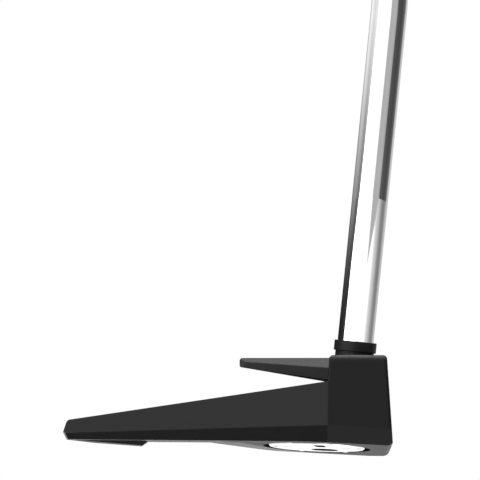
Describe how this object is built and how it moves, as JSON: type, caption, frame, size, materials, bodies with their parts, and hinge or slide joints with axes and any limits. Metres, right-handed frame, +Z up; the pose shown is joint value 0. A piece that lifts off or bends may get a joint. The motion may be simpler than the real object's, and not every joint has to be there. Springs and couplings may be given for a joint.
{
  "type": "mallet putter",
  "caption": "Faceted mallet putter head with long rear wings, screw-in sole weights, a bent stepped steel shaft and a pistol rubber grip.",
  "frame": {"origin": "on the ground, on the flat of the sole below the leading edge, midway between toe and heel", "axes": "+X points at the target, out of the striking face; +Y runs from toe to heel; +Z up"},
  "size_m": [0.0976, 0.3635, 0.8382],
  "materials": {
    "head_black": "satin black, bead blasted",
    "insert_black": "black anodised, milled",
    "backing_grey": "matte elastomer",
    "spar_black": "satin black anodised",
    "dowel_steel": "ground",
    "line_white": "white enamel",
    "weight_steel": "polished",
    "mark_black": "black enamel",
    "seal_rubber": "matte",
    "bush_brass": "turned",
    "ferrule_black": "satin black",
    "shaft_chrome": "polished chrome plate",
    "bond_epoxy": "cured epoxy",
    "plug_plastic": "natural",
    "grip_rubber": "matte, fine texture",
    "tape_cream": "adhesive tape",
    "cap_plastic": "matte black"
  },
  "bodies": {
    "club": {"head_body": "head_black", "face_insert": "insert_black", "insert_backing": "backing_grey", "alignment_spar": "spar_black", "spar_dowels": "dowel_steel", "sight_line": "line_white", "toe_thread_bush": "bush_brass", "heel_thread_bush": "bush_brass", "ferrule": "ferrule_black", "shaft": "shaft_chrome", "shaft_bond": "bond_epoxy", "shaft_tip_plug": "plug_plastic", "grip": "grip_rubber", "grip_tape": "tape_cream", "grip_end_cap": "cap_plastic"},
    "toe_seal_body": {"toe_seal_ring": "seal_rubber"},
    "toe_weight_body": {"toe_weight": "weight_steel", "toe_weight_marks": "mark_black"},
    "heel_seal_body": {"heel_seal_ring": "seal_rubber"},
    "heel_weight_body": {"heel_weight": "weight_steel", "heel_weight_marks": "mark_black"}
  },
  "joints": [
    {"name": "toe_weight_lift", "type": "slide", "parent": "club", "child": "toe_seal_body", "axis": [-0.0431, -0.0802, -0.9958], "range_m": [0, 0.00501]},
    {"name": "toe_weight_turn", "type": "hinge", "parent": "toe_seal_body", "child": "toe_weight_body", "pos_m": [-0.0144, -0.0286, 0.00213], "axis": [-0.0431, -0.0802, -0.9958], "range_deg": [0, 1800]},
    {"name": "heel_weight_lift", "type": "slide", "parent": "club", "child": "heel_seal_body", "axis": [-0.0431, 0.0802, -0.9958], "range_m": [0, 0.00501]},
    {"name": "heel_weight_turn", "type": "hinge", "parent": "heel_seal_body", "child": "heel_weight_body", "pos_m": [-0.0144, 0.0286, 0.00213], "axis": [-0.0431, 0.0802, -0.9958], "range_deg": [0, 1800]}
  ],
  "couplings": [
    {"joint": "toe_weight_lift", "follows": "toe_weight_turn", "m_per_rad": 0.00015915},
    {"joint": "heel_weight_lift", "follows": "heel_weight_turn", "m_per_rad": 0.00015915}
  ]
}
